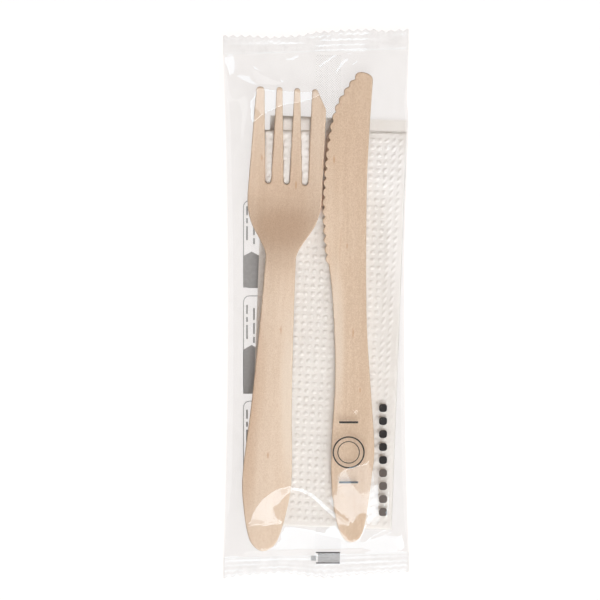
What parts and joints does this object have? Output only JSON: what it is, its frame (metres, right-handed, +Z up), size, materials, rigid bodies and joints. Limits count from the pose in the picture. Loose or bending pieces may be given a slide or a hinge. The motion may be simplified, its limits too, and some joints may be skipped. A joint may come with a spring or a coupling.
{
  "type": "wrapped wooden cutlery kit",
  "caption": "Pressed wooden fork and serrated wooden knife on a folded embossed paper napkin, sealed flat in a clear film sachet with crimped saw-cut ends.",
  "frame": {"origin": "under the middle of the sachet's box, on the surface that it lies on", "axes": "+Y along the sachet towards the tine tips, +X across it from the fork to the knife, +Z up from its flat back to its front"},
  "size_m": [0.0648, 0.1918, 0.0116],
  "materials": {
    "clear_film": "clear gloss film",
    "fork_wood": "bare pressed birch, sanded",
    "knife_wood": "bare pressed birch, sanded",
    "tissue": "embossed white paper tissue"
  },
  "bodies": {
    "root": {"film_sachet": "clear_film", "fork": "fork_wood", "knife": "knife_wood", "napkin": "tissue"}
  },
  "joints": []
}
